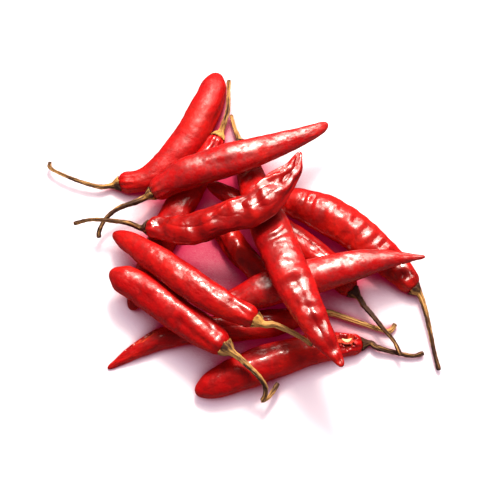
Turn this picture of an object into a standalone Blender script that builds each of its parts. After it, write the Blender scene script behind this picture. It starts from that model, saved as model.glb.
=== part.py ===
"""A loose heap of thirteen whole dried red chillies, as they lie on a table.

Each chilli is a wrinkled pod and its stalk, which ends in a small cup on the pod's
shoulder. The lowest pods rest on the table and the others lie across them.
"""

import math
import random
from typing import NamedTuple

import bmesh
import bpy
import numpy as np

MM = 0.001

# The heap
HEAP_NAME = "dried_chilli_heap"
PLAN_MIDDLE = (-2.6, -0.9)         # middle of the heap, in the grid that the spines are given in
SETTLE = 0.45                      # the lowest pods are pressed this far into flat resting spots
TOUCH_GAP = 0.3                    # room left between pieces that touch

# Pods
POD_SIDES = 16
POD_RINGS = 22
WIDTH_STATIONS = (0.03, 0.20, 0.45, 0.70, 0.90, 0.97)
ROUND_LENGTH = 12.0                # a pod is nearly round for this far from its stalk
SHOULDER_SQUASH = 0.92
SHOULDER_LENGTH = 0.9              # length of the domed shoulder, in shoulder radii
TIP_LENGTH = 1.2                   # length of the rounded tip, in tip radii
SMOOTH_END = 3.0                   # this much of the shoulder has no dents
HOLLOWS_PER_POD = 14
HOLLOW_LENGTH = (3.0, 7.5)
HOLLOW_BREADTH = (0.35, 0.75)
GROOVES_PER_POD = 4
GROOVE_LENGTH = (12.0, 22.0)
GROOVE_BREADTH = (0.24, 0.34)
TWIST = 0.9                        # how far the folds wind round a pod, in radians
DEEPEST_DENT = 0.45                # of the pod's radius there
SMOOTH_UNDERSIDE = 0.85            # how much shallower the dents are underneath

# Stalks
STALK_SIDES = 8
STALK_RINGS = 20
CUP_RINGS = 6
CUP_GAP = 0.55
CUP_WALL = 0.6
CUP_HEIGHT = 4.0
STRAIGHT_RUN = 3.5                 # a stalk leaves the pod in line with it for this far

# The seed that shows in the torn pod
SEED_SIZE = (4.0, 2.6, 0.9)
SEED_SIDES = 8
SEED_RINGS = 5

RED_SKIN = ((0.62, 0.012, 0.012), 0.32)
DRY_STALK = ((0.42, 0.24, 0.09), 0.7)
PALE_SEED = ((0.85, 0.68, 0.42), 0.6)


class Chilli(NamedTuple):
    """One chilli, in millimetres: its spine runs from the stalk end to the tip."""
    name: str
    spine: tuple
    widths: tuple
    squash: float
    dent_depth: float
    seed: int
    cup_radius: float
    stalk_radius: float
    stalk: tuple


CHILLIES = (
    # Lying on the table
    Chilli("back_left",
           ((-52, 19.5, 3), (-38, 23, 4), (-23.5, 39.5, 4.4), (-15.5, 56.5, 4.3), (-11.5, 72, 3.6)),
           (9.0, 11.0, 12.8, 13.2, 10.4, 7.6), 0.72, 0.6, 11, 2.6, 0.8,
           ((-60, 18, 3.6), (-68, 20, 4.5), (-76, 23.5, 4.5), (-80.5, 26.5, 3.8), (-81, 29.5, 3.5))),
    Chilli("back_end",
           ((-11, 41.5, 2.8), (-20.5, 20.5, 4.1), (-32, -4.5, 4.4), (-41.5, -27, 3.2), (-44.5, -35.5, 2.3)),
           (7.8, 11.7, 13.5, 12.3, 8.8, 5.6), 0.7, 0.9, 12, 3.0, 0.9,
           ((-8, 48.7, 4.6), (-6.8, 53, 5.5), (-6.6, 59, 6), (-6.5, 67.3, 6))),
    Chilli("middle_long",
           ((43.5, -28.5, 4.5), (29, -12.5, 4.4), (7.5, 4, 5.3), (-9, 14.5, 6.5), (-15, 17.5, 7.1)),
           (8.2, 12.3, 12.0, 10.5, 7.3, 5.3), 0.75, 1.3, 13, 2.6, 0.85,
           ((47.5, -34.3, 4.8), (50.5, -38.6, 5.8), (54.2, -44, 6.5), (58.5, -49.2, 5.6), (61, -55, 5))),
    Chilli("right_fat",
           ((68, -27, 3.5), (58.5, -15.5, 5), (40.5, 0, 5.9), (24, 9.5, 5.2), (13, 10, 4.3)),
           (9.0, 12.9, 14.9, 14.9, 12.3, 8.1), 0.8, 1.4, 14, 2.7, 0.85,
           ((71.9, -36.8, 4), (73.5, -46, 3), (74.6, -53, 2.4), (76, -60, 2))),
    Chilli("middle_short",
           ((-11.5, 1.2, 3.2), (-2, -10.5, 4.3), (5.5, -19.5, 3.9), (17.5, -32, 1.5)),
           (6.7, 11.3, 11.9, 10.0, 5.4, 3.0), 0.75, 1.2, 15, 2.2, 0.8,
           ((-14.2, 4.9, 3.8), (-14.3, 6.3, 4))),
    Chilli("front_thin",
           ((27, -37.5, 3.6), (7, -42, 3.9), (-25, -45.5, 3.4), (-39.5, -51, 2.6), (-53, -59, 1)),
           (7.1, 11.5, 11.3, 9.4, 4.9, 2.3), 0.72, 0.8, 16, 2.2, 0.95,
           ((35, -37, 2.8), (45, -40.5, 2.6), (53, -43.2, 2.2), (57.5, -44, 2), (60, -41, 2))),
    Chilli("front_torn",
           ((46.5, -49.5, 2.8), (33, -51, 4.3), (10, -57, 5.2), (-6, -64, 5), (-18.5, -69.5, 3.8)),
           (7.7, 11.7, 14.5, 15.3, 10.9, 7.2), 0.75, 0.8, 17, 2.2, 0.85,
           ((52, -51, 3), (59.5, -53, 2.3), (66, -54.2, 2), (70.5, -53, 2))),
    # Lying across those
    Chilli("right_top",
           ((-8.5, -35.5, 7.8), (8.5, -30, 11.1), (32, -24, 13.7), (51.5, -19, 14.3), (71.5, -17, 13.4)),
           (8.7, 13.9, 14.7, 11.6, 4.6, 1.9), 0.76, 0.6, 18, 2.6, 0.9,
           ((-13.5, -32.5, 6.8), (-18, -28.5, 5.8), (-23, -23.5, 4.4))),
    Chilli("long_cross",
           ((-1.5, 38, 3.2), (6.5, 6, 14.8), (15, -20.5, 22.4), (24.5, -44.5, 26.3), (36.5, -65.5, 26.2)),
           (8.7, 11.3, 14.1, 13.7, 8.7, 4.8), 0.72, 1.4, 19, 2.6, 0.8,
           ((-4, 45.5, 3), (-5.6, 52.2, 2.6))),
    Chilli("left_thin",
           ((5, -45, 18.3), (-15, -34, 18.2), (-31, -21, 15.1), (-45.5, -9.5, 10.3), (-52.5, -4.5, 7.4)),
           (8.5, 11.6, 12.3, 11.6, 8.3, 4.8), 0.76, 0.8, 20, 2.7, 0.95,
           ((12, -46.5, 17.4), (19.6, -49.8, 16.5), (26.4, -53.9, 15.5))),
    Chilli("left_fat",
           ((-6.5, -55, 14.7), (-22.5, -42.5, 12.7), (-36.5, -32, 11.8), (-52.5, -22.5, 11.7)),
           (9.2, 12.9, 14.1, 13.9, 11.4, 7.6), 0.75, 0.8, 21, 3.2, 0.95,
           ((-1, -59.2, 14.4), (3, -62.8, 13.6), (6.3, -66, 12.2), (8.2, -68.6, 10.2),
            (8.3, -71.2, 7.8), (7.4, -73, 6.2), (10, -71, 5), (13.3, -65.6, 4.2))),
    # On top
    Chilli("top_twisted",
           ((-38.5, -3.5, 10.7), (-18, -7.5, 20.6), (3.5, -2, 26.7), (17.5, 12, 27.5), (22.5, 22.5, 26.4)),
           (9.2, 13.3, 13.7, 13.1, 7.6, 3.2), 0.72, 2.0, 22, 2.6, 0.85,
           ((-46.5, -1.5, 11), (-55.5, -0.5, 11.5), (-62, 0, 10.6), (-68.5, -1, 9))),
    Chilli("top_back",
           ((-37.5, 12, 9.7), (-23, 19, 14.3), (2.5, 26, 17.9), (25, 35, 17), (34.5, 41, 15.5)),
           (9.2, 14.1, 14.3, 10.4, 6.5, 4.3), 0.74, 0.6, 23, 2.6, 0.9,
           ((-44, 8.5, 9.2), (-51, 6, 8.4), (-56, 1.8, 7.4), (-58.4, -3, 6.5), (-58.5, -6, 6))),
)

# The tear in the skin of one pod: place along it, angle round it, length, breadth and depth
TORN_CHILLI = "front_torn"
TEAR_PLACE = 0.10
TEAR_ANGLE = math.radians(100)
TEAR_LENGTH = 3.6
TEAR_BREADTH = 0.75
TEAR_DEPTH = 2.0


def clear_scene():
    for old in list(bpy.data.objects):
        bpy.data.objects.remove(old, do_unlink=True)


def make_collection(name):
    collection = bpy.data.collections.new(name)
    bpy.context.scene.collection.children.link(collection)
    return collection


def make_material(name, colour, roughness):
    material = bpy.data.materials.new(name)
    material.use_nodes = True
    shader = material.node_tree.nodes["Principled BSDF"]
    shader.inputs["Base Color"].default_value = (*colour, 1.0)
    shader.inputs["Roughness"].default_value = roughness
    shader.inputs["Metallic"].default_value = 0.0
    material.diffuse_color = (*colour, 1.0)
    return material


def unit(vector):
    return vector / np.linalg.norm(vector)


def smooth_step(value):
    value = min(max(value, 0.0), 1.0)
    return value * value * (3.0 - 2.0 * value)


class Path:
    """A smooth curve through a few points, read by the distance along it."""

    def __init__(self, points, steps=30):
        knots = np.array(points, float)
        knots = np.vstack([2 * knots[0] - knots[1], knots, 2 * knots[-1] - knots[-2]])
        t = np.linspace(0.0, 1.0, steps, endpoint=False)[:, None]
        pieces = []
        for a, b, c, d in zip(knots, knots[1:], knots[2:], knots[3:]):
            linear = (c - a) * t
            square = (2 * a - 5 * b + 4 * c - d) * t ** 2
            cube = (3 * b - a - 3 * c + d) * t ** 3
            pieces.append(b + 0.5 * (linear + square + cube))
        self.points = np.vstack([*pieces, knots[-2:-1]])
        steps_apart = np.linalg.norm(np.diff(self.points, axis=0), axis=1)
        self.distances = np.concatenate([[0.0], np.cumsum(steps_apart)])
        self.length = self.distances[-1]

    def at(self, distance):
        return np.array([np.interp(distance, self.distances, axis) for axis in self.points.T])

    def direction(self, distance, reach=0.8):
        return unit(self.at(distance + reach) - self.at(distance - reach))


class Pod:
    """The shape of one pod, as a point for each place along it and angle round it."""

    def __init__(self, chilli):
        middle = (*PLAN_MIDDLE, SETTLE)
        self.chilli = chilli
        self.path = Path(np.array(chilli.spine) - middle)
        self.shoulder = 0.5 * chilli.widths[0]
        self.tip = 0.5 * chilli.widths[-1]
        self.places = np.linspace(0.0, 1.0, 201)
        half_widths = 0.5 * np.interp(self.places, WIDTH_STATIONS, chilli.widths)
        kernel = np.hanning(27)
        padded = np.pad(half_widths, 13, mode="edge")
        self.half_widths = np.convolve(padded, kernel / kernel.sum(), "valid")
        self.dents = self.draw_dents()

    def draw_dents(self):
        draw = random.Random(self.chilli.seed)
        dents = []
        for count, lengths, breadths in (
            (HOLLOWS_PER_POD, HOLLOW_LENGTH, HOLLOW_BREADTH),
            (GROOVES_PER_POD, GROOVE_LENGTH, GROOVE_BREADTH),
        ):
            for number in range(count):
                place = (number + draw.uniform(0.2, 1.0)) / count
                angle = draw.uniform(-math.pi, math.pi)
                length = draw.uniform(*lengths)
                breadth = draw.uniform(*breadths)
                depth = self.chilli.dent_depth * draw.uniform(0.6, 1.1)
                dents.append((place, angle, length, breadth, depth))
        if self.chilli.name == TORN_CHILLI:
            dents.append((TEAR_PLACE, TEAR_ANGLE - TWIST * TEAR_PLACE, TEAR_LENGTH, TEAR_BREADTH, TEAR_DEPTH))
        return dents

    def frame(self, along):
        centre = self.path.at(along)
        tangent = self.path.direction(along)
        side = unit(np.cross((0.0, 0.0, 1.0), tangent))
        return centre, side, np.cross(tangent, side), tangent

    def radius(self, place):
        along = place * self.path.length
        left = (1.0 - place) * self.path.length
        dome = min(along / (SHOULDER_LENGTH * self.shoulder), 1.0)
        cone = min(left / (TIP_LENGTH * self.tip), 1.0)
        ends = math.sqrt(1.0 - (1.0 - dome) ** 2) * math.sqrt(1.0 - (1.0 - cone) ** 2)
        return ends * np.interp(place, self.places, self.half_widths)

    def dent(self, place, angle):
        depth = 0.0
        for where, turn, length, breadth, deep in self.dents:
            along = (place - where) * self.path.length / length
            around = (angle - turn - TWIST * place + math.pi) % (2 * math.pi) - math.pi
            depth += deep * math.exp(-along ** 2 - (around / breadth) ** 2)
        depth *= smooth_step((place * self.path.length - SMOOTH_END) / ROUND_LENGTH * 2)
        depth *= 1.0 - SMOOTH_UNDERSIDE * max(0.0, -math.sin(angle))
        return min(depth, DEEPEST_DENT * self.radius(place))

    def squash(self, place):
        flatter = smooth_step(place * self.path.length / ROUND_LENGTH)
        return SHOULDER_SQUASH + (self.chilli.squash - SHOULDER_SQUASH) * flatter

    def point(self, place, angle):
        centre, side, up, _ = self.frame(place * self.path.length)
        radius = self.radius(place) - self.dent(place, angle)
        across = radius * math.cos(angle) * side
        upward = radius * math.sin(angle) * self.squash(place) * up
        point = centre + across + upward
        point[2] = max(point[2], 0.0)
        return point


class Stalk:
    """The shape of one stalk: a cup over the pod's shoulder that narrows to a bent stem."""

    def __init__(self, chilli, pod):
        middle = (*PLAN_MIDDLE, SETTLE)
        self.chilli = chilli
        self.pod = pod
        base, side, up, tangent = pod.frame(0.0)
        leaving = base - STRAIGHT_RUN * tangent
        self.path = Path([base, leaving, *(np.array(chilli.stalk) - middle)])
        self.rings = self.cup_rings(side, up) + self.stem_rings(side, up)

    def cup_rings(self, side, up):
        """Centre, radius, side and up of each ring, from inside the cup to its neck."""
        radius = self.chilli.cup_radius
        dome = SHOULDER_LENGTH * self.pod.shoulder
        rim_depth = dome * (1.0 - math.sqrt(1.0 - (radius / self.pod.shoulder) ** 2))
        middle_depth = dome * (1.0 - math.sqrt(1.0 - (0.5 * radius / self.pod.shoulder) ** 2))
        outline = (
            (CUP_GAP, 0.0),
            (CUP_GAP - middle_depth, 0.5 * radius),
            (CUP_GAP - rim_depth, radius),
            (CUP_GAP - rim_depth + 0.1, radius + CUP_WALL),
            (0.25 * CUP_HEIGHT, 0.92 * radius),
            (0.6 * CUP_HEIGHT, 0.55 * radius),
            (CUP_HEIGHT, 1.2 * self.chilli.stalk_radius),
        )
        base, _, _, tangent = self.pod.frame(0.0)
        return [(base - out * tangent, wide, side, up) for out, wide in outline]

    def stem_rings(self, side, up):
        """The same for the stem, with the side and up carried along it without a twist."""
        stem_rings = STALK_RINGS - CUP_RINGS
        distances = np.linspace(CUP_HEIGHT, self.path.length, stem_rings + 1)[1:]
        rings = []
        for number, distance in enumerate(distances, start=1):
            tangent = -self.path.direction(distance)
            side = unit(side - side.dot(tangent) * tangent)
            up = np.cross(tangent, side)
            knob = 1.25 if number == stem_rings - 1 else 1.0
            rings.append((self.path.at(distance), knob * self.chilli.stalk_radius, side, up))
        end, _, side, up = rings[-1]
        rings[-1] = (end, 0.0, side, up)
        return rings

    def point(self, ring, angle):
        centre, radius, side, up = self.rings[ring]
        squash = SHOULDER_SQUASH if ring <= CUP_RINGS - 1 else 1.0
        point = centre + radius * (math.cos(angle) * side + squash * math.sin(angle) * up)
        point[2] = max(point[2], 0.0)
        return point


def shaped_sphere(name, sides, rings, place_vertex, material, collection):
    """A sphere whose vertices are moved by place_vertex(ring, angle), ring 0 being its foot."""
    mesh = bpy.data.meshes.new(name)
    shape = bmesh.new()
    bmesh.ops.create_uvsphere(shape, u_segments=sides, v_segments=rings, radius=1.0)
    for vertex in shape.verts:
        height = min(max(vertex.co.z, -1.0), 1.0)
        ring = rings - round(math.acos(height) / math.pi * rings)
        angle = math.atan2(vertex.co.y, vertex.co.x)
        vertex.co = place_vertex(ring, angle) * MM
    bmesh.ops.triangulate(shape, faces=shape.faces)
    shape.to_mesh(mesh)
    shape.free()
    mesh.shade_smooth()
    mesh.materials.append(material)
    piece = bpy.data.objects.new(name, mesh)
    collection.objects.link(piece)
    return piece


def even_and_rounded(ring, rings):
    """Place along a pod of a ring, with the rings closer together towards both ends."""
    even = ring / rings
    rounded = 0.5 * (1.0 - math.cos(math.pi * even))
    return 0.5 * (even + rounded)


def build_pod(pod, material, collection):
    def place_vertex(ring, angle):
        return pod.point(even_and_rounded(ring, POD_RINGS), angle)

    name = "pod_" + pod.chilli.name
    return shaped_sphere(name, POD_SIDES, POD_RINGS, place_vertex, material, collection)


def build_stalk(stalk, material, collection):
    def place_vertex(ring, angle):
        return stalk.point(STALK_RINGS - ring, angle)

    name = "stalk_" + stalk.chilli.name
    return shaped_sphere(name, STALK_SIDES, STALK_RINGS, place_vertex, material, collection)


def build_seed(pod, material, collection):
    """A flat oval seed that lies in the tear, its long side along the pod."""
    foot = pod.point(TEAR_PLACE, TEAR_ANGLE)
    _, side, up, tangent = pod.frame(TEAR_PLACE * pod.path.length)
    outward = unit(math.cos(TEAR_ANGLE) * side + math.sin(TEAR_ANGLE) * up)
    across = np.cross(outward, tangent)
    long, wide, thick = (0.5 * size for size in SEED_SIZE)
    centre = foot + (thick + TOUCH_GAP + 0.5) * outward

    def place_vertex(ring, angle):
        slope = math.pi * ring / SEED_RINGS
        flat = long * math.sin(slope) * math.cos(angle) * tangent
        broad = wide * math.sin(slope) * math.sin(angle) * across
        return centre + flat + broad - thick * math.cos(slope) * outward

    return shaped_sphere("seed", SEED_SIDES, SEED_RINGS, place_vertex, material, collection)


def main():
    clear_scene()
    heap = make_collection(HEAP_NAME)
    skin = make_material("pod_skin", *RED_SKIN)
    wood = make_material("stalk", *DRY_STALK)
    cream = make_material("seed", *PALE_SEED)
    for chilli in CHILLIES:
        pod = Pod(chilli)
        build_pod(pod, skin, heap)
        build_stalk(Stalk(chilli, pod), wood, heap)
        if chilli.name == TORN_CHILLI:
            build_seed(pod, cream, heap)


main()
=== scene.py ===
"""A loose heap of whole dried red chillies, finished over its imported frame.

Each pod is a sphere drawn out along its spine, squashed, dented, creased and wrinkled. Each
stalk is another, with a lobed cup that sits on the pod's shoulder and a ribbed, bent stem.
"""

import math
import random
from typing import NamedTuple

import bpy
import numpy as np
from bpy.props import FloatProperty, FloatVectorProperty, IntProperty, PointerProperty
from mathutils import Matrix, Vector


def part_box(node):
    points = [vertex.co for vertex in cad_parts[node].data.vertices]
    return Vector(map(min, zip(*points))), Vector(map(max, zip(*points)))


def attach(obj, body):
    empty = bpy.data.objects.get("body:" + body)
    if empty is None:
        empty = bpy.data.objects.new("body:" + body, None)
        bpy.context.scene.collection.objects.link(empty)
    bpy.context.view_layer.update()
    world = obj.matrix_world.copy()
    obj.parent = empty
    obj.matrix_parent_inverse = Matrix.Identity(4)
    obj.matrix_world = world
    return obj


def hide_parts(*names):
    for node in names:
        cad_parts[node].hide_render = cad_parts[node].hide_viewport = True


bl_info = {
    "name": "Dried Chilli Heap",
    "version": (1, 0, 0),
    "blender": (4, 5, 0),
    "location": "View3D > Sidebar > Chillies",
    "description": "Models a loose heap of dried red chillies with their stalks",
    "category": "Add Mesh",
}

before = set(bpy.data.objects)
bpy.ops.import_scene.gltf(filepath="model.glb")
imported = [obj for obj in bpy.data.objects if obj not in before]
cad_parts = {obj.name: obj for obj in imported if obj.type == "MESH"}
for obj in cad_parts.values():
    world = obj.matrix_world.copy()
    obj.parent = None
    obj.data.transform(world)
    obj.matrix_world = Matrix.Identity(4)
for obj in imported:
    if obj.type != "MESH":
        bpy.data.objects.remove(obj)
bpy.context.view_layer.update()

BODY = "root"
MM = 0.001

# The heap, in millimetres, as in the part's own source
PLAN_MIDDLE = (-2.6, -0.9)
SETTLE = 0.45

# Pods: each chilli's widths are given at these shares of its length
WIDTH_STATIONS = (0.03, 0.20, 0.45, 0.70, 0.90, 0.97)
WIDTH_SAMPLES = 201
WIDTH_SMOOTHING = 27
ROUND_LENGTH = 12.0
SHOULDER_SQUASH = 0.92
SHOULDER_LENGTH = 0.9
TIP_LENGTH = 1.2
SMOOTH_END = 3.0
HOLLOWS_PER_POD = 14
HOLLOW_LENGTH = (3.0, 7.5)
HOLLOW_BREADTH = (0.35, 0.75)
GROOVES_PER_POD = 4
GROOVE_LENGTH = (12.0, 22.0)
GROOVE_BREADTH = (0.24, 0.34)
TWIST = 0.9
DEEPEST_DENT = 0.45
SMOOTH_UNDERSIDE = 0.85
TIP_FADE = 20.0                    # the large dents fade out over this last stretch

# Wrinkles: millimetres from one to the next along a pod, and how many lie round it
LONG_CREASES = (18.0, 6)
SIDE_CREASES = (8.0, 8)
BUCKLES = (6.0, 5)
FOLD_SWAY = (9.0, 5)
FOLD_STRENGTH = (7.0, 7)
PUCKERS = (2.2, 16)
FINE_PUCKERS = (0.9, 44)
SHOULDER_RIBS = 8
SWELL = 0.3                        # the skin between the wrinkles stands this far proud
STIFF_EDGES = 0.15                 # share of the wrinkles' depth along a flattened pod's two edges

# Stalks
CUP_GAP = 0.25
CUP_WALL = 0.6
CUP_HEIGHT = 4.0
STRAIGHT_RUN = 3.5
FRAMES_ALONG = 240

# The seed, a crescent with a thick rim
SEED_CHILLI = "front_torn"
SEED_SIZE = (4.0, 2.6, 0.9)
SEED_SIDES = 48
SEED_RINGS = 24
SEED_BREADTH = 0.55                # share of its width, to which its curl adds the rest
SEED_CURL = 0.75
SEED_MIDDLE = 0.75                 # thickness in the middle, as a share of the rim's

# The stage, in metres
FLOOR_SIZE = 6.0
KEY_PLACE = (0.04, 0.47, 0.60)
KEY_SIZE = 0.14
SOFT_PLACE = (0.10, 0.50, 0.57)
SOFT_SIZE = 0.66
WARM_WHITE = (1.0, 0.90, 0.79)
SKY = (0.96, 0.88, 0.98)
CAMERA_AIM = Vector((0.0051, -0.0111, 0.00755))
CAMERA_NEAR = 0.01


class Tear(NamedTuple):
    """A ragged hole in a pod's skin: its length and depth in millimetres, its breadth an angle."""
    place: float
    angle: float
    length: float
    breadth: float
    depth: float


TEARS = {
    "front_torn": Tear(0.10, math.radians(100), 3.6, 0.75, 2.0),
    "front_thin": Tear(0.79, math.radians(135), 6.5, 0.30, 0.8),
    "middle_long": Tear(0.33, math.radians(115), 1.4, 0.16, 0.5),
}


class Ridge(NamedTuple):
    """A sharp ridge of the skin: the places and degrees that it runs through, and its height."""
    course: tuple
    height: float


RIDGES = {
    "top_twisted": (
        Ridge(((0.36, 95), (0.48, 52), (0.62, 38), (0.74, 40), (0.86, 75)), 1.5),
        Ridge(((0.66, 40), (0.78, 22), (0.92, 40)), 1.0),
    ),
    "right_fat": (Ridge(((0.30, 150), (0.55, 160), (0.80, 155)), 0.6),),
}
RIDGE_BREADTH = 0.17
RIDGE_FADE = 0.08


class Chilli(NamedTuple):
    """One chilli, in millimetres, its spine running from the stalk end to the tip.

    Creases, buckles and folds are shares of the depths in the pods' settings. Tone is how bright
    the skin is, and stalk_tone how dark the stalk.
    """
    name: str
    spine: tuple
    widths: tuple
    squash: float
    dent_depth: float
    seed: int
    cup_radius: float
    stalk_radius: float
    stalk: tuple
    creases: float = 0.3
    buckles: float = 0.4
    folds: float = 0.2
    fold_spacing: float = 6.0
    gloss: float = 0.7
    tone: float = 0.5
    stalk_tone: float = 0.3
    satin: bool = False


CHILLIES = (
    # Lying on the table
    Chilli("back_left",
           ((-52, 19.5, 3), (-38, 23, 4), (-23.5, 39.5, 4.4), (-15.5, 56.5, 4.3), (-11.5, 72, 3.6)),
           (9.0, 11.0, 13.6, 14.4, 11.6, 8.2), 0.72, 0.6, 11, 2.6, 0.8,
           ((-60, 18, 3.6), (-68, 20, 4.5), (-76, 23.5, 4.5), (-80.5, 26.5, 3.8), (-81, 29.5, 3.5)),
           creases=0.15, buckles=0.4, folds=0.1, gloss=0.12, tone=0.35, stalk_tone=0.35,
           satin=True),
    Chilli("back_end",
           ((-11, 41.5, 2.8), (-20.5, 20.5, 4.1), (-32, -4.5, 4.4), (-41.5, -27, 3.2),
            (-44.5, -35.5, 2.3)),
           (7.8, 11.7, 13.5, 12.3, 8.8, 5.6), 0.7, 0.9, 12, 3.0, 0.9,
           ((-8, 48.7, 4.6), (-6.8, 53, 5.5), (-6.6, 59, 6), (-6.5, 67.3, 6)),
           buckles=0.5, gloss=0.5, tone=0.3, stalk_tone=0.25),
    Chilli("middle_long",
           ((43.5, -28.5, 4.5), (29, -12.5, 4.4), (7.5, 4, 5.3), (-9, 14.5, 6.5), (-15, 17.5, 7.1)),
           (8.2, 12.3, 12.0, 10.5, 7.3, 5.3), 0.75, 1.3, 13, 2.6, 0.85,
           ((47.5, -34.3, 4.8), (50.5, -38.6, 5.8), (54.2, -44, 6.5), (58.5, -49.2, 5.6), (61, -55, 5)),
           creases=0.5, folds=0.9, gloss=1.0, tone=0.5, stalk_tone=0.6),
    Chilli("right_fat",
           ((68, -27, 3.5), (58.3, -15.8, 5), (40.2, -0.4, 5.9), (23.8, 9.1, 5.2), (13, 10, 4.3)),
           (9.0, 13.2, 15.9, 16.2, 13.0, 8.5), 0.74, 0.8, 14, 2.7, 0.85,
           ((71.9, -36.8, 4), (73.5, -46, 3), (74.6, -53, 2.4), (76, -60, 2)),
           creases=0.1, buckles=0.4, folds=1.7, fold_spacing=5.2, gloss=1.0, tone=0.8,
           stalk_tone=0.5),
    Chilli("middle_short",
           ((-11.5, 1.2, 3.2), (-2, -10.5, 4.3), (5.5, -19.5, 3.9), (17.5, -32, 1.5)),
           (6.7, 11.3, 11.9, 10.0, 5.4, 3.0), 0.75, 1.2, 15, 2.2, 0.8,
           ((-14.2, 4.9, 3.8), (-14.3, 6.3, 4)),
           creases=0.1, folds=1.8, fold_spacing=7.0, gloss=1.0, tone=0.6),
    Chilli("front_thin",
           ((27, -37.5, 3.6), (7, -42, 3.9), (-25, -45.5, 3.4), (-39.5, -51, 2.6), (-53, -59, 1)),
           (7.1, 11.5, 11.3, 9.4, 4.9, 2.3), 0.72, 0.8, 16, 2.2, 0.95,
           ((35, -37, 2.8), (45, -40.5, 2.6), (53, -43.2, 2.2), (57.5, -44, 2), (60, -41, 2)),
           creases=0.5, folds=0.2, gloss=0.45, tone=0.4, stalk_tone=0.15),
    Chilli("front_torn",
           ((46.5, -49.5, 2.8), (33, -51, 4.3), (10, -57, 5.2), (-6, -64, 5), (-18.5, -69.5, 3.8)),
           (7.7, 11.7, 14.5, 15.3, 10.9, 7.2), 0.75, 0.8, 17, 2.2, 0.85,
           ((52, -51, 3), (59.5, -53, 2.3), (66, -54.2, 2), (70.5, -53, 2)),
           buckles=0.5, folds=0.2, gloss=0.4, tone=0.4, stalk_tone=0.6),
    # Lying across those
    Chilli("right_top",
           ((-8.5, -35.5, 7.8), (8.5, -30, 11.1), (32, -24, 13.7), (51.5, -19, 14.3), (71.5, -17, 13.4)),
           (8.7, 13.9, 14.7, 11.6, 4.6, 1.9), 0.76, 0.6, 18, 2.6, 0.9,
           ((-13.5, -32.5, 6.8), (-18, -28.5, 5.8), (-23, -23.5, 4.4)),
           creases=0.1, buckles=0.3, folds=0.1, gloss=1.0, tone=0.45, satin=True),
    Chilli("long_cross",
           ((-1.5, 38, 3.2), (6.5, 6, 14.8), (15, -20.5, 22.4), (24.5, -44.5, 26.3), (36.5, -65.5, 26.2)),
           (8.7, 12.0, 16.2, 15.0, 9.6, 3.4), 0.64, 0.9, 19, 2.6, 0.8,
           ((-4, 45.5, 3), (-5.6, 52.2, 2.6)),
           creases=0.1, buckles=0.9, folds=2.6, fold_spacing=8.0, gloss=1.0, tone=0.45,
           stalk_tone=0.3),
    Chilli("left_thin",
           ((5, -45, 18.3), (-15, -34, 18.2), (-31, -21, 15.1), (-45.5, -9.5, 10.3), (-52.5, -4.5, 7.4)),
           (8.5, 11.6, 12.3, 11.6, 8.3, 4.8), 0.76, 0.8, 20, 2.7, 0.95,
           ((12, -46.5, 17.4), (19.6, -49.8, 16.5), (26.4, -53.9, 15.5)),
           creases=0.15, buckles=0.5, folds=0.4, gloss=0.6, tone=0.4, stalk_tone=0.1),
    Chilli("left_fat",
           ((-6.5, -55, 14.7), (-22.5, -42.5, 12.7), (-36.5, -32, 11.8), (-52.5, -22.5, 11.7)),
           (9.2, 12.9, 14.1, 13.9, 11.4, 7.6), 0.75, 0.8, 21, 3.2, 0.95,
           ((-1, -59.2, 14.4), (3, -62.8, 13.6), (6.3, -66, 12.2), (8.2, -68.6, 10.2),
            (8.3, -71.2, 7.8), (7.4, -73, 6.2), (10, -71, 5), (13.3, -65.6, 4.2)),
           creases=0.15, buckles=0.5, folds=0.4, gloss=0.6, tone=0.35, stalk_tone=0.38),
    # On top
    Chilli("top_twisted",
           ((-38.5, -3.5, 10.7), (-18, -7.5, 20.6), (3.5, -2, 26.7), (17.5, 12, 27.5), (22.5, 22.5, 26.4)),
           (9.2, 14.0, 15.2, 14.6, 8.6, 3.2), 0.66, 2.0, 22, 2.6, 0.85,
           ((-46.5, -1.5, 11), (-55.5, -0.5, 11.5), (-62, 0, 10.6), (-68.5, -1, 9)),
           creases=0.9, buckles=1.8, folds=3.2, fold_spacing=8.0, gloss=1.0, tone=0.6,
           stalk_tone=0.45),
    Chilli("top_back",
           ((-37.5, 12, 9.7), (-23, 19, 14.3), (2.5, 26, 17.9), (25, 35, 17), (34.5, 41, 15.5)),
           (9.2, 14.1, 14.3, 10.4, 6.5, 4.3), 0.74, 0.6, 23, 2.6, 0.9,
           ((-44, 8.5, 9.2), (-51, 6, 8.4), (-56, 1.8, 7.4), (-58.4, -3, 6.5), (-58.5, -6, 6)),
           creases=0.1, buckles=0.3, folds=0.15, gloss=1.0, tone=0.4, stalk_tone=0.5,
           satin=True),
)


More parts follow.
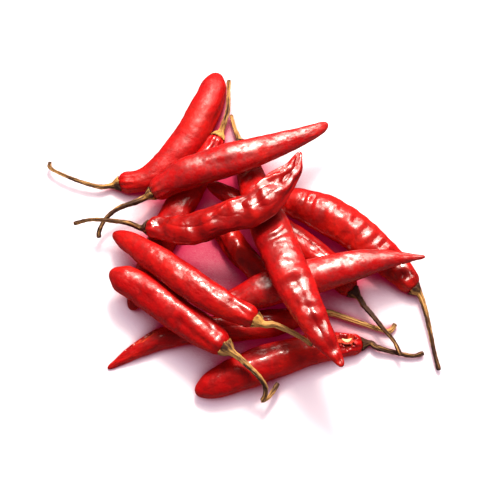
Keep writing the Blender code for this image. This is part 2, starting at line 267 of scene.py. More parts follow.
class PodSettings(bpy.types.PropertyGroup):
    """What the pods' skin is like."""
    sides: IntProperty(name="Sides", description="Faces round each pod", default=128, min=16)
    rings: IntProperty(name="Rings", description="Faces along each pod", default=336, min=22)
    crease_depth: FloatProperty(
        name="Crease Depth", description="Depth of the creases along the pods",
        default=0.0005, subtype="DISTANCE", unit="LENGTH")
    fold_depth: FloatProperty(
        name="Fold Depth", description="Depth of the folds that run across the pods",
        default=0.00045, subtype="DISTANCE", unit="LENGTH")
    buckle_depth: FloatProperty(
        name="Buckle Depth", description="Depth of the broad hollows where the pods have shrunk",
        default=0.0011, subtype="DISTANCE", unit="LENGTH")
    pucker_depth: FloatProperty(
        name="Pucker Depth", description="Depth of the fine puckers of the dry skin",
        default=0.0002, subtype="DISTANCE", unit="LENGTH")
    shoulder_depth: FloatProperty(
        name="Shoulder Depth", description="Depth of the puckers round the stalk",
        default=0.0004, subtype="DISTANCE", unit="LENGTH")
    # Painted shade in the skin's hollows, and also the skin's darker spots, streaks and the gaps in its
    # tears
    shade_and_spot_red: FloatVectorProperty(
        name="Deep Red", description="Skin over thick flesh and in the hollows",
        default=(0.16, 0.0004, 0.001), size=3, subtype="COLOR")
    bright_red: FloatVectorProperty(
        name="Bright Red", description="Most of the skin",
        default=(0.42, 0.001, 0.0016), size=3, subtype="COLOR")
    thin_red: FloatVectorProperty(
        name="Thin Skin Red", description="Skin that is thin enough to let light through",
        default=(0.60, 0.010, 0.003), size=3, subtype="COLOR")
    flesh: FloatVectorProperty(
        name="Torn Flesh", description="Inside of the tear",
        default=(0.60, 0.050, 0.018), size=3, subtype="COLOR")


class StalkSettings(bpy.types.PropertyGroup):
    """What the stalks and their cups are like."""
    sides: IntProperty(name="Sides", description="Faces round each stalk", default=48, min=8)
    rings: IntProperty(name="Rings", description="Faces along each stalk", default=200, min=20)
    rib_height: FloatProperty(
        name="Rib Height", description="Height of the ribs along the stem",
        default=0.00012, subtype="DISTANCE", unit="LENGTH")
    golden: FloatVectorProperty(
        name="Golden", description="Cups and fresh stems",
        default=(0.62, 0.32, 0.08), size=3, subtype="COLOR")
    tan: FloatVectorProperty(
        name="Tan", description="Dry stems",
        default=(0.52, 0.27, 0.09), size=3, subtype="COLOR")
    dark: FloatVectorProperty(
        name="Dark", description="Weathered stems and their ends",
        default=(0.06, 0.022, 0.012), size=3, subtype="COLOR")


class SeedSettings(bpy.types.PropertyGroup):
    """The seed that shows in the tear."""
    cream: FloatVectorProperty(
        name="Cream", description="The seed",
        default=(0.80, 0.58, 0.30), size=3, subtype="COLOR")


class StageSettings(bpy.types.PropertyGroup):
    """The floor, the lights and the camera."""
    floor: FloatVectorProperty(
        name="Floor", description="Plain pale floor",
        default=(0.62, 0.62, 0.63), size=3, subtype="COLOR")
    shade: FloatVectorProperty(
        name="Shaded Floor", description="Floor that the pods close in, in the red light from them",
        default=(0.45, 0.02, 0.07), size=3, subtype="COLOR")
    glow: FloatVectorProperty(
        name="Floor Glow", description="Light that the floor gives off in the shadows",
        default=(0.50, 0.34, 0.42), size=3, subtype="COLOR")
    fill: FloatProperty(
        name="Fill Light", description="Strength of the light from all round", default=0.25)
    key: FloatProperty(
        name="Key Light", description="Power of the small light from the back", default=6.5,
        unit="POWER")
    soft: FloatProperty(
        name="Soft Light", description="Power of the large light from the back", default=10.5,
        unit="POWER")
    lens: FloatProperty(
        name="Lens", description="Focal length of the camera", default=80.0, unit="CAMERA")
    distance: FloatProperty(
        name="Distance", description="From the camera to the heap",
        default=0.444, subtype="DISTANCE", unit="LENGTH")
    elevation: FloatProperty(
        name="Elevation", description="How steeply the camera looks down",
        default=math.radians(68), subtype="ANGLE", unit="ROTATION")


def unit(vectors):
    """Vectors of length one; the last axis holds each vector."""
    return vectors / np.linalg.norm(vectors, axis=-1, keepdims=True)


def smooth_step(values):
    """Eases from 0 to 1 as the values go from 0 to 1."""
    values = np.clip(values, 0.0, 1.0)
    return values * values * (3.0 - 2.0 * values)


class Path:
    """A smooth curve through a few points, read by the distance along it."""

    def __init__(self, points, steps=30):
        knots = np.array(points, float)
        knots = np.vstack([2 * knots[0] - knots[1], knots, 2 * knots[-1] - knots[-2]])
        t = np.linspace(0.0, 1.0, steps, endpoint=False)[:, None]
        pieces = []
        for a, b, c, d in zip(knots, knots[1:], knots[2:], knots[3:]):
            linear = (c - a) * t
            square = (2 * a - 5 * b + 4 * c - d) * t ** 2
            cube = (3 * b - a - 3 * c + d) * t ** 3
            pieces.append(b + 0.5 * (linear + square + cube))
        self.points = np.vstack([*pieces, knots[-2:-1]])
        steps_apart = np.linalg.norm(np.diff(self.points, axis=0), axis=1)
        self.distances = np.concatenate([[0.0], np.cumsum(steps_apart)])
        self.length = self.distances[-1]

    def at(self, distances):
        """Points of the curve."""
        axes = [np.interp(distances, self.distances, axis) for axis in self.points.T]
        return np.stack(axes, axis=-1)

    def direction(self, distances, reach=0.8):
        """Which way the curve runs, over a short reach."""
        return unit(self.at(distances + reach) - self.at(distances - reach))


class Ripples:
    """Smooth random heights from 0 to 1 over a pod, evenly spaced along it and round it."""

    def __init__(self, draw, length, spacing):
        apart, self.around = spacing
        self.along = round(length / apart)
        self.heights = draw.random((self.along + 2, self.around))

    def at(self, places, angles):
        """The heights at places along the pod and angles round it."""
        u = np.clip(places, 0.0, 1.0) * self.along
        v = (angles / (2 * math.pi)) % 1.0 * self.around
        row = np.floor(u).astype(int)
        column = np.floor(v).astype(int)
        across = smooth_step(v - column)
        column = column % self.around
        beside = (column + 1) % self.around
        near = self.heights[row, column] * (1 - across) + self.heights[row, beside] * across
        far = self.heights[row + 1, column] * (1 - across) + self.heights[row + 1, beside] * across
        lengthways = smooth_step(u - row)
        return near * (1 - lengthways) + far * lengthways

    def creases(self, places, angles, sharpness):
        """1 in the narrow lines where the heights cross their middle, and 0 away from them."""
        return (1.0 - np.abs(2.0 * self.at(places, angles) - 1.0)) ** sharpness


class Pod:
    """The shape of one pod, as points for places along it and angles round it."""

    def __init__(self, chilli):
        self.chilli = chilli
        self.tear = TEARS.get(chilli.name)
        self.path = Path(np.array(chilli.spine) - (*PLAN_MIDDLE, SETTLE))
        self.shoulder = 0.5 * chilli.widths[0]
        self.tip = 0.5 * chilli.widths[-1]
        self.places = np.linspace(0.0, 1.0, WIDTH_SAMPLES)
        half_widths = 0.5 * np.interp(self.places, WIDTH_STATIONS, chilli.widths)
        kernel = np.hanning(WIDTH_SMOOTHING)
        padded = np.pad(half_widths, WIDTH_SMOOTHING // 2, mode="edge")
        self.half_widths = np.convolve(padded, kernel / kernel.sum(), "valid")
        self.dents = self.draw_dents()
        draw = np.random.default_rng(chilli.seed)
        self.long_creases = Ripples(draw, self.path.length, LONG_CREASES)
        self.side_creases = Ripples(draw, self.path.length, SIDE_CREASES)
        self.buckles = Ripples(draw, self.path.length, BUCKLES)
        self.fold_sway = Ripples(draw, self.path.length, FOLD_SWAY)
        self.fold_strength = Ripples(draw, self.path.length, FOLD_STRENGTH)
        self.puckers = Ripples(draw, self.path.length, PUCKERS)
        self.fine_puckers = Ripples(draw, self.path.length, FINE_PUCKERS)

    def draw_dents(self):
        """Hollows and grooves at random: place, angle, length, breadth and depth of each."""
        draw = random.Random(self.chilli.seed)
        dents = []
        for count, lengths, breadths in (
            (HOLLOWS_PER_POD, HOLLOW_LENGTH, HOLLOW_BREADTH),
            (GROOVES_PER_POD, GROOVE_LENGTH, GROOVE_BREADTH),
        ):
            for number in range(count):
                place = (number + draw.uniform(0.2, 1.0)) / count
                angle = draw.uniform(-math.pi, math.pi)
                length = draw.uniform(*lengths)
                breadth = draw.uniform(*breadths)
                depth = self.chilli.dent_depth * draw.uniform(0.6, 1.1)
                dents.append((place, angle, length, breadth, depth))
        return dents

    def frame(self, along):
        """Centre, side, up and direction of the spine."""
        centre = self.path.at(along)
        tangent = self.path.direction(along)
        side = unit(np.cross((0.0, 0.0, 1.0), tangent))
        return centre, side, np.cross(tangent, side), tangent

    def radius(self, place):
        """Half the pod's width, rounded off at the shoulder and the tip."""
        along = place * self.path.length
        left = (1.0 - place) * self.path.length
        dome = np.clip(along / (SHOULDER_LENGTH * self.shoulder), 0.0, 1.0)
        cone = np.clip(left / (TIP_LENGTH * self.tip + 1.5), 0.0, 1.0)
        ends = np.sqrt(1.0 - (1.0 - dome) ** 2) * np.sqrt(1.0 - (1.0 - cone) ** 2)
        return ends * np.interp(place, self.places, self.half_widths)

    def dent(self, place, angle):
        """The larger dents and grooves, which the solid has too."""
        depth = np.zeros_like(place)
        for where, turn, length, breadth, deep in self.dents:
            along = (place - where) * self.path.length / length
            around = (angle - turn - TWIST * place + math.pi) % (2 * math.pi) - math.pi
            depth += deep * np.exp(-along ** 2 - (around / breadth) ** 2)
        depth *= smooth_step((place * self.path.length - SMOOTH_END) / ROUND_LENGTH * 2)
        depth *= smooth_step((1.0 - place) * self.path.length / TIP_FADE)
        depth *= 1.0 - SMOOTH_UNDERSIDE * np.maximum(0.0, -np.sin(angle))
        return np.minimum(depth, DEEPEST_DENT * self.radius(place))

    def folds(self, place, wound):
        """Folds across the pod, from 0 to 1, which sway and come and go."""
        turns = place * self.path.length / self.chilli.fold_spacing
        turns = turns + 0.9 * self.fold_sway.at(place, wound)
        waves = 0.5 - 0.5 * np.cos(2 * math.pi * turns)
        return waves * smooth_step(1.6 * self.fold_strength.at(place, wound) - 0.2)

    def shoulder_ribs(self, along, angle):
        """Ribs that the skin is gathered into round the stalk, from 0 to 1."""
        shoulder = smooth_step(along / 2.5) * (1.0 - smooth_step((along - 3.0) / 8.0))
        turns = SHOULDER_RIBS * angle + 2.0 * np.sin(angle + self.chilli.seed)
        return shoulder * (0.5 + 0.5 * np.cos(turns))

    def wrinkle(self, place, angle, settings):
        """How deep the creases, folds, buckles and puckers of the dry skin are, in millimetres."""
        wound = angle - TWIST * place
        along = place * self.path.length
        creases = self.long_creases.creases(place, wound, 5.0)
        creases += 0.6 * self.side_creases.creases(place, wound, 6.0)
        depth = settings.crease_depth / MM * self.chilli.creases * creases
        depth += settings.fold_depth / MM * self.chilli.folds * self.folds(place, wound)
        depth += settings.buckle_depth / MM * self.chilli.buckles * self.buckles.at(place, wound)
        depth *= STIFF_EDGES + (1.0 - STIFF_EDGES) * np.sin(angle) ** 2
        puckers = self.puckers.at(place, wound) + 0.35 * self.fine_puckers.at(place, wound)
        depth += settings.pucker_depth / MM * puckers
        depth *= smooth_step(along / 7.0) * smooth_step((self.path.length - along) / 3.0)
        return depth + settings.shoulder_depth / MM * self.shoulder_ribs(along, angle)

    def squash(self, place):
        """Height of the pod as a share of its width."""
        flatter = smooth_step(place * self.path.length / ROUND_LENGTH)
        return SHOULDER_SQUASH + (self.chilli.squash - SHOULDER_SQUASH) * flatter

    def ridge(self, place, angle):
        """How far the sharp ridges stand up, in millimetres."""
        height = np.zeros_like(place)
        for ridge in RIDGES.get(self.chilli.name, ()):
            places, degrees = np.array(ridge.course).T
            line = np.interp(place, places, np.radians(degrees))
            apart = (angle - line + math.pi) % (2 * math.pi) - math.pi
            ends = smooth_step((place - places[0]) / RIDGE_FADE)
            ends = ends * smooth_step((places[-1] - place) / RIDGE_FADE)
            height += ridge.height * ends * np.exp(-np.abs(apart / RIDGE_BREADTH) ** 1.5)
        return height

    def torn(self, place, angle):
        """How far inside its ragged tear a point is, from 0 outside to 1 in it."""
        if self.tear is None:
            return np.zeros_like(place)
        along = (place - self.tear.place) * self.path.length / self.tear.length
        around = (angle - self.tear.angle + math.pi) % (2 * math.pi) - math.pi
        around = around / self.tear.breadth
        spread = np.hypot(along, around)
        turn = np.arctan2(around, along)
        ragged = 1.0 + 0.22 * np.sin(3 * turn + 0.7) + 0.12 * np.sin(7 * turn)
        ragged = ragged + 0.08 * np.sin(13 * turn + 2.0)
        return 1.0 - smooth_step((spread / ragged - 0.95) / 0.12)

    def surface(self, place, angle, settings):
        """Points of the skin, and how deep each lies under the plain form."""
        centre, side, up, _ = self.frame(place * self.path.length)
        depth = self.dent(place, angle) + self.wrinkle(place, angle, settings)
        depth -= self.ridge(place, angle)
        if self.tear:
            depth += self.tear.depth * self.torn(place, angle)
        plain = self.radius(place)
        radius = plain - np.minimum(depth - SWELL * smooth_step(plain / 3.0), 0.6 * plain)
        across = (radius * np.cos(angle))[:, None] * side
        upward = (radius * np.sin(angle) * self.squash(place))[:, None] * up
        points = centre + across + upward
        points[:, 2] = np.maximum(points[:, 2], 0.0)
        return points, depth


class Stalk:
    """The shape of one stalk: a lobed cup over the pod's shoulder and a bent, ribbed stem."""

    def __init__(self, chilli, pod):
        self.chilli = chilli
        self.pod = pod
        base, self.side, _, self.tangent = (row[0] for row in pod.frame(np.zeros(1)))
        leaving = base - STRAIGHT_RUN * self.tangent
        self.path = Path([base, leaving, *(np.array(chilli.stalk) - (*PLAN_MIDDLE, SETTLE))])
        self.out, self.wide = self.outline()
        self.frames = self.carried_frames()

    def outline(self):
        """Distance out along the stalk and radius, from inside the cup to the stem's end."""
        radius = self.chilli.cup_radius
        stem = self.chilli.stalk_radius
        dome = SHOULDER_LENGTH * self.pod.shoulder
        shares = np.linspace(0.0, 1.0, 6)
        depths = dome * (1.0 - np.sqrt(1.0 - (shares * radius / self.pod.shoulder) ** 2))
        inner = [(CUP_GAP - depth, share * radius) for depth, share in zip(depths, shares)]
        rim = CUP_GAP - depths[-1]
        length = self.path.length
        rest = length - CUP_HEIGHT
        outer = [
            (rim - 0.05, radius + 0.5 * CUP_WALL),
            (rim + 0.25, radius + CUP_WALL),
            (0.25 * CUP_HEIGHT, 0.92 * radius),
            (0.42 * CUP_HEIGHT, 0.74 * radius),
            (0.6 * CUP_HEIGHT, 0.55 * radius),
            (0.8 * CUP_HEIGHT, 0.5 * (0.55 * radius + 1.25 * stem)),
            (CUP_HEIGHT, 1.35 * stem),
            (CUP_HEIGHT + 0.25 * rest, 1.08 * stem),
            (CUP_HEIGHT + 0.80 * rest, 0.78 * stem),
            (CUP_HEIGHT + 0.93 * rest, 0.98 * stem),
            (length - 0.25, 0.90 * stem),
            (length, 0.0),
        ]
        return np.array(inner + outer).T

    def carried_frames(self):
        """Side and up along the stalk, carried from the pod's without a twist."""
        distances = np.linspace(0.0, self.path.length, FRAMES_ALONG)
        inward = -self.path.direction(distances)
        side = self.side
        sides = []
        for tangent in inward:
            side = unit(side - side.dot(tangent) * tangent)
            sides.append(side)
        return distances, np.array(sides), np.cross(inward, np.array(sides))

    def surface(self, share, angle, settings):
        """Points for shares of the outline from 0 to 1 and angles round it."""
        steps = np.concatenate([[0.0], np.cumsum(np.hypot(np.diff(self.out), np.diff(self.wide)))])
        travelled = share * steps[-1]
        out = np.interp(travelled, steps, self.out)
        wide = np.interp(travelled, steps, self.wide)
        outside = smooth_step((travelled - steps[5]) / 0.6)
        cup = outside * (1.0 - smooth_step((out - 0.2 * CUP_HEIGHT) / (0.7 * CUP_HEIGHT)))
        stem = smooth_step((out - 0.5 * CUP_HEIGHT) / CUP_HEIGHT)
        turn = angle + self.chilli.seed
        # Ribs along the stem, ragged lobes round the cup's rim, and thicker and thinner stretches
        ribs = np.cos(5 * turn) + 0.5 * np.cos(9 * turn + 1.3)
        wide = wide + settings.rib_height / MM * stem * ribs
        lobes = np.cos(5 * turn) + 0.45 * np.cos(11 * turn + 1.0) + 0.3 * np.cos(17 * turn)
        wide = wide * (1.0 + 0.07 * cup * lobes)
        out = out - 0.35 * cup * lobes
        knots = np.sin(out * 1.7 + self.chilli.seed) * np.sin(out * 0.63)
        wide = wide * (1.0 + 0.08 * stem * knots)
        distances, sides, ups = self.frames
        held = np.maximum(out, 0.0)
        inward = np.minimum(out, 0.0)[:, None] * -self.tangent
        centre = self.path.at(held) + inward
        side = unit(np.stack([np.interp(held, distances, axis) for axis in sides.T], axis=-1))
        up = unit(np.stack([np.interp(held, distances, axis) for axis in ups.T], axis=-1))
        squash = SHOULDER_SQUASH + (1.0 - SHOULDER_SQUASH) * stem
        across = (wide * np.cos(angle))[:, None] * side
        upward = (wide * squash * np.sin(angle))[:, None] * up
        points = centre + across + upward
        points[:, 2] = np.maximum(points[:, 2], 0.0)
        return points, out


class Wire:
    """A shader socket's value, so that sums on it can be written as sums."""

    def __init__(self, shader, socket):
        self.shader = shader
        self.socket = socket

    def math(self, operation, *values):
        """The values, numbers or wires, put through a Math node."""
        node = self.shader.node("ShaderNodeMath", {"operation": operation}, values)
        return Wire(self.shader, node.outputs[0])

    def __add__(self, other):
        return self.math("ADD", self, other)

    def __radd__(self, other):
        return self.math("ADD", other, self)

    def __sub__(self, other):
        return self.math("SUBTRACT", self, other)

    def __rsub__(self, other):
        return self.math("SUBTRACT", other, self)

    def __mul__(self, other):
        return self.math("MULTIPLY", self, other)

    def __rmul__(self, other):
        return self.math("MULTIPLY", other, self)


class Shader:
    """A material's nodes, added by type with their settings and the values of their sockets."""

    def __init__(self, name):
        self.material = bpy.data.materials.new(name)
        self.material.use_nodes = True
        self.tree = self.material.node_tree
        self.surface = self.tree.nodes["Principled BSDF"]

    def node(self, kind, settings=None, values=None):
        """A node of any type, with the values or wires of its sockets by name or in order."""
        node = self.tree.nodes.new(kind)
        for name, value in (settings or {}).items():
            setattr(node, name, value)
        items = values.items() if isinstance(values, dict) else enumerate(values or ())
        for name, value in items:
            self.feed(node.inputs[name], value)
        return node

    def feed(self, socket, value):
        """Links a wire to the socket, or gives the socket a value of its own."""
        if isinstance(value, Wire):
            self.tree.links.new(value.socket, socket)
        elif hasattr(value, "__len__") and len(value) == 3 and len(socket.default_value) == 4:
            socket.default_value = (*value, 1.0)
        else:
            socket.default_value = value

    def wire(self, node, output=0):
        return Wire(self, node.outputs[output])

    def attribute(self, name, output="Fac"):
        return self.wire(self.node("ShaderNodeAttribute", {"attribute_name": name}), output)

    def noise(self, vector, scale, detail=3.0, roughness=0.55):
        values = {"Vector": vector, "Scale": scale, "Detail": detail, "Roughness": roughness}
        return self.wire(self.node("ShaderNodeTexNoise", {"noise_dimensions": "3D"}, values), "Fac")

    def spread(self, value, low, high):
        """The value's range from low to high, as 0 to 1."""
        settings = {"interpolation_type": "SMOOTHSTEP"}
        values = {"Value": value, "From Min": low, "From Max": high}
        return self.wire(self.node("ShaderNodeMapRange", settings, values))

    def blend(self, factor, first, second):
        """The first colour, turning into the second as the factor goes from 0 to 1."""
        node = self.node("ShaderNodeMix", {"data_type": "RGBA"})
        self.feed(node.inputs[0], factor)
        self.feed(node.inputs[6], first)
        self.feed(node.inputs[7], second)
        return self.wire(node, 2)

    def bump(self, height, distance, strength):
        values = {"Height": height, "Distance": distance, "Strength": strength}
        return self.wire(self.node("ShaderNodeBump", {}, values), "Normal")

    def finish(self, **values):
        """The material, with the given values or wires on its main shader."""
        for name, value in values.items():
            self.feed(self.surface.inputs[name.replace("_", " ")], value)
        return self.material


def skin_material(settings, satin):
    """Dry red skin, darker in the hollows as painted shade and brighter where thin, with a patchy gloss or
    sheen.
    """
    shader = Shader("satin_skin" if satin else "glossy_skin")
    grain = shader.attribute("skin", "Vector")
    hollow = shader.attribute("hollow")
    tone = shader.attribute("tone")
    torn = shader.attribute("torn")
    gloss = shader.attribute("gloss")
    blotches = shader.noise(grain, 0.9, detail=2.0)
    mottle = shader.noise(grain, 3.2, detail=4.0, roughness=0.6)
    streaks = shader.noise(grain, 7.0, detail=3.0)
    thin = shader.spread(blotches + 0.5 * mottle + 0.35 * tone, 0.80, 1.20)
    # Painted shade in the hollows of the skin, mixed with darker spots at random
    deep = shader.spread(hollow + 0.6 * mottle, 0.50, 1.10)
    # Red that is brighter where the skin is thin, darker in the hollows as painted shade, and darker in
    # spots and streaks at random
    colour = shader.blend(thin * 0.7, settings.bright_red, settings.thin_red)
    colour = shader.blend(deep * 0.55, colour, settings.shade_and_spot_red)
    colour = shader.blend(shader.spread(mottle, 0.47, 0.60) * 0.35, colour, settings.shade_and_spot_red)
    colour = shader.blend(shader.spread(streaks, 0.52, 0.75) * 0.25, colour, settings.shade_and_spot_red)
    # Flesh in the tears, with dark gaps
    inside = shader.blend(shader.spread(mottle, 0.46, 0.58), settings.flesh, settings.shade_and_spot_red)
    colour = shader.blend(torn, colour, inside)
    roughness = 0.40 + 0.15 * mottle + 0.2 * torn
    # A gloss that is broken up into patches
    patches = shader.noise(grain, 3.2, detail=4.0, roughness=0.7)
    coat = gloss * (0.15 + 0.85 * shader.spread(patches, 0.40, 0.56)) * (1.0 - torn * 0.6)
    fine = shader.noise(grain, 26.0, detail=4.0, roughness=0.65)
    folds = shader.noise(grain, 9.0, detail=2.0)
    normal = shader.bump(folds + 0.30 * fine, 0.0004, 0.45)
    return shader.finish(
        Base_Color=colour, Roughness=roughness, Normal=normal, Specular_IOR_Level=0.15,
        Coat_Weight=coat, Coat_Roughness=0.31 if satin else 0.19, Coat_IOR=1.8,
    )


def stalk_material(settings):
    """Dry woody stalk: golden cup, tan stem with darker streaks, dark end."""
    shader = Shader("stalk")
    grain = shader.attribute("skin", "Vector")
    tone = shader.attribute("tone")
    out = shader.attribute("out")
    streaks = shader.noise(grain, 6.0, detail=4.0, roughness=0.7)
    blotches = shader.noise(grain, 2.2, detail=2.0)
    stem = shader.spread(out, 0.06, 0.26)
    end = shader.spread(out, 0.93, 0.99)
    rim = 1.0 - shader.spread(out, 0.0, 0.04)
    colour = shader.blend(stem * 0.8, settings.golden, settings.tan)
    colour = shader.blend(shader.spread(streaks, 0.48, 0.60) * rim * 0.8, colour, settings.dark)
    weathered = shader.spread(streaks * 0.8 + blotches * 1.8 + tone, 1.45, 1.85)
    colour = shader.blend(weathered, colour, settings.dark)
    colour = shader.blend(end * 0.8, colour, settings.dark)
    normal = shader.bump(streaks, 0.0005, 0.9)
    return shader.finish(
        Base_Color=colour, Roughness=0.55 + 0.2 * streaks, Normal=normal, Specular_IOR_Level=0.25)


def seed_material(settings):
    """Pale papery seed coat, a little darker in blotches."""
    shader = Shader("seed")
    place = shader.wire(shader.node("ShaderNodeTexCoord"), "Object")
    blotches = shader.noise(place, 900.0)
    dark = tuple(0.55 * value for value in settings.cream)
    colour = shader.blend(shader.spread(blotches, 0.45, 0.75) * 0.5, settings.cream, dark)
    return shader.finish(
        Base_Color=colour, Roughness=0.5 + 0.15 * blotches,
        Normal=shader.bump(blotches, 0.0001, 0.5))


def start_sphere(name, sides, rings):
    """A sphere, with the ring and the angle of each of its points, ring 0 being its foot."""
    bpy.ops.object.select_all(action="DESELECT")
    bpy.ops.mesh.primitive_uv_sphere_add(segments=sides, ring_count=rings, radius=1.0)
    piece = bpy.context.object
    piece.name = name
    piece.data.name = name
    places = np.empty(len(piece.data.vertices) * 3)
    piece.data.vertices.foreach_get("co", places)
    x, y, z = places.reshape(-1, 3).T
    ring = rings - np.round(np.arccos(np.clip(z, -1.0, 1.0)) / math.pi * rings)
    return piece, ring, np.arctan2(y, x)


def set_points(piece, points):
    """Moves the points of a piece, given in millimetres, and smooths its shading."""
    piece.data.vertices.foreach_set("co", (points * MM).astype(np.float32).ravel())
    piece.data.update()
    bpy.ops.object.shade_smooth()


def paint(piece, name, values):
    """Keeps a number, or a vector, for each point of a piece."""
    kind = "FLOAT" if values.ndim == 1 else "FLOAT_VECTOR"
    key = "value" if values.ndim == 1 else "vector"
    layer = piece.data.attributes.new(name, kind, "POINT")
    layer.data.foreach_set(key, values.astype(np.float32).ravel())


def settle(piece, node, material):
    """Gives a finished piece its material and puts it in its node's place."""
    piece.data.materials.clear()
    piece.data.materials.append(material)
    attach(piece, BODY)
    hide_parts(node)


class HEAP_OT_pods(bpy.types.Operator):
    """Model the wrinkled pods"""
    bl_idname = "chilli_heap.pods"
    bl_label = "Model Pods"

    def execute(self, context):
        settings = context.scene.chilli_pods
        materials = [skin_material(settings, satin) for satin in (False, True)]
        for chilli in CHILLIES:
            self.model(Pod(chilli), settings, materials[chilli.satin])
        return {"FINISHED"}

    def model(self, pod, settings, material):
        name = pod.chilli.name
        piece, ring, angle = start_sphere("skin_" + name, settings.sides, settings.rings)
        even = ring / settings.rings
        place = 0.5 * even + 0.25 * (1.0 - np.cos(math.pi * even))
        points, depth = pod.surface(place, angle, settings)
        set_points(piece, points)
        wound = angle - TWIST * place
        length = place * pod.path.length
        grain = np.stack([5.0 * np.cos(wound), 5.0 * np.sin(wound), 0.7 * length], axis=-1)
        paint(piece, "skin", grain / 10.0 + pod.chilli.seed)
        # How deep each point lies under the plain form, which the skin turns into painted shade in the
        # hollows
        paint(piece, "hollow", depth / 2.0)
        paint(piece, "tone", np.full(len(place), pod.chilli.tone))
        paint(piece, "gloss", np.full(len(place), pod.chilli.gloss))
        paint(piece, "torn", pod.torn(place, angle))
        settle(piece, "pod_" + name, material)


class HEAP_OT_stalks(bpy.types.Operator):
    """Model the stalks with their cups"""
    bl_idname = "chilli_heap.stalks"
    bl_label = "Model Stalks"

    def execute(self, context):
        settings = context.scene.chilli_stalks
        material = stalk_material(settings)
        for chilli in CHILLIES:
            self.model(Stalk(chilli, Pod(chilli)), settings, material)
        return {"FINISHED"}

    def model(self, stalk, settings, material):
        name = stalk.chilli.name
        piece, ring, angle = start_sphere("stem_" + name, settings.sides, settings.rings)
        share = 1.0 - ring / settings.rings
        points, out = stalk.surface(share, angle, settings)
        set_points(piece, points)
        grain = np.stack([np.cos(angle), np.sin(angle), 0.12 * out], axis=-1)
        paint(piece, "skin", 0.4 * grain + stalk.chilli.seed)
        paint(piece, "out", out / stalk.path.length)
        paint(piece, "tone", np.full(len(share), stalk.chilli.stalk_tone))
        settle(piece, "stalk_" + name, material)


class HEAP_OT_seed(bpy.types.Operator):
    """Model the seed that shows in the tear"""
    bl_idname = "chilli_heap.seed"
    bl_label = "Model Seed"

    def execute(self, context):
        pod = Pod(next(chilli for chilli in CHILLIES if chilli.name == SEED_CHILLI))
        along = np.array([pod.tear.place * pod.path.length])
        _, side, up, tangent = (row[0] for row in pod.frame(along))
        outward = unit(math.cos(pod.tear.angle) * side + math.sin(pod.tear.angle) * up)
        across = np.cross(outward, tangent)
        low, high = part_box("seed")
        middle = np.array((low + high) / 2) / MM
        piece, ring, angle = start_sphere("seed_coat", SEED_SIDES, SEED_RINGS)
        slope = math.pi * ring / SEED_RINGS
        long, wide, thick = (0.5 * size for size in SEED_SIZE)
        flat = np.sin(slope)
        x = long * flat * np.cos(angle)
        curl = SEED_CURL * wide * (1.0 - (x / long) ** 2) - 0.4 * wide
        y = SEED_BREADTH * wide * flat * np.sin(angle) + curl
        rim = smooth_step((flat - 0.6) / 0.3)
        z = -thick * np.cos(slope) * (SEED_MIDDLE + (1.0 - SEED_MIDDLE) * rim)
        points = middle + x[:, None] * tangent + y[:, None] * across + z[:, None] * outward
        set_points(piece, points)
        settle(piece, "seed", seed_material(context.scene.chilli_seed))
        return {"FINISHED"}


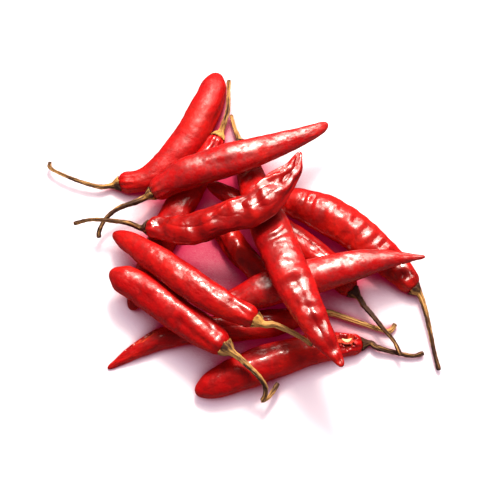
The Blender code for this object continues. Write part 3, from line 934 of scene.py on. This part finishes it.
class HEAP_OT_stage(bpy.types.Operator):
    """Set the floor, the lights and the camera"""
    bl_idname = "chilli_heap.stage"
    bl_label = "Set Stage"

    def execute(self, context):
        settings = context.scene.chilli_stage
        bpy.ops.object.select_all(action="DESELECT")
        bpy.ops.mesh.primitive_plane_add(size=FLOOR_SIZE, location=(0.0, 0.0, 0.0))
        floor = context.object
        floor.name = "floor"
        floor.data.materials.append(self.floor_material(settings))
        floor.visible_glossy = False
        world = bpy.data.worlds.new("studio")
        world.use_nodes = True
        background = world.node_tree.nodes["Background"]
        background.inputs["Color"].default_value = (*SKY, 1.0)
        background.inputs["Strength"].default_value = settings.fill
        context.scene.world = world
        world.cycles_visibility.glossy = False
        self.add_light("key", KEY_PLACE, KEY_SIZE, settings.key)
        self.add_light("soft_box", SOFT_PLACE, SOFT_SIZE, settings.soft)
        self.add_camera(context, settings)
        return {"FINISHED"}

    def floor_material(self, settings):
        """Plain pale floor, redder where the pods stand close round it, as painted shade and painted red
        bounce light, with a painted glow that lightens its shadows.
        """
        shader = Shader("floor")
        room = shader.node("ShaderNodeAmbientOcclusion", {"samples": 16}, {"Distance": 0.06})
        # Painted shade and red bounce light, from how closely the pods close the floor in
        open_floor = shader.spread(shader.wire(room, "AO"), 0.28, 0.78)
        return shader.finish(
            Base_Color=shader.blend(open_floor, settings.shade, settings.floor),
            # Painted glow that lightens the floor's shadows, dim and red where the pods close it in
            Emission_Color=shader.blend(open_floor, (0.06, 0.0, 0.01), settings.glow),
            Emission_Strength=1.0, Roughness=0.9, Specular_IOR_Level=0.2)

    def add_light(self, name, place, size, power):
        bpy.ops.object.light_add(type="AREA", location=place)
        lamp = bpy.context.object
        lamp.name = name
        lamp.data.size = size
        lamp.data.energy = power
        lamp.data.color = WARM_WHITE
        lamp.rotation_euler = (-Vector(place)).to_track_quat("-Z", "Y").to_euler()

    def add_camera(self, context, settings):
        ahead = Vector((0.0, math.cos(settings.elevation), -math.sin(settings.elevation)))
        bpy.ops.object.camera_add(location=CAMERA_AIM - settings.distance * ahead)
        camera = context.object
        camera.name = "camera"
        camera.data.lens = settings.lens
        camera.data.sensor_width = 36.0
        camera.data.clip_start = CAMERA_NEAR
        camera.rotation_euler = ahead.to_track_quat("-Z", "Y").to_euler()
        context.scene.camera = camera
        context.scene.view_settings.view_transform = "Standard"


class HEAP_PT_panel(bpy.types.Panel):
    """Sizes and colours of the heap, and the steps that model it"""
    bl_idname = "HEAP_PT_panel"
    bl_label = "Dried Chilli Heap"
    bl_space_type = "VIEW_3D"
    bl_region_type = "UI"
    bl_category = "Chillies"

    def draw(self, context):
        for name, operator in STEPS:
            settings = getattr(context.scene, name)
            box = self.layout.box()
            for key in settings.bl_rna.properties.keys():
                if key not in {"rna_type", "name"}:
                    box.prop(settings, key)
            box.operator(operator.bl_idname)


STEPS = (
    ("chilli_pods", HEAP_OT_pods),
    ("chilli_stalks", HEAP_OT_stalks),
    ("chilli_seed", HEAP_OT_seed),
    ("chilli_stage", HEAP_OT_stage),
)
SETTINGS = {
    "chilli_pods": PodSettings,
    "chilli_stalks": StalkSettings,
    "chilli_seed": SeedSettings,
    "chilli_stage": StageSettings,
}
CLASSES = (*SETTINGS.values(), *(operator for _, operator in STEPS), HEAP_PT_panel)


def register():
    for cls in CLASSES:
        bpy.utils.register_class(cls)
    for name, group in SETTINGS.items():
        setattr(bpy.types.Scene, name, PointerProperty(type=group))


def unregister():
    for name in SETTINGS:
        delattr(bpy.types.Scene, name)
    for cls in reversed(CLASSES):
        bpy.utils.unregister_class(cls)


def main():
    register()
    bpy.ops.chilli_heap.stage()
    bpy.ops.chilli_heap.pods()
    bpy.ops.chilli_heap.stalks()
    bpy.ops.chilli_heap.seed()


if __name__ == "__main__":
    main()
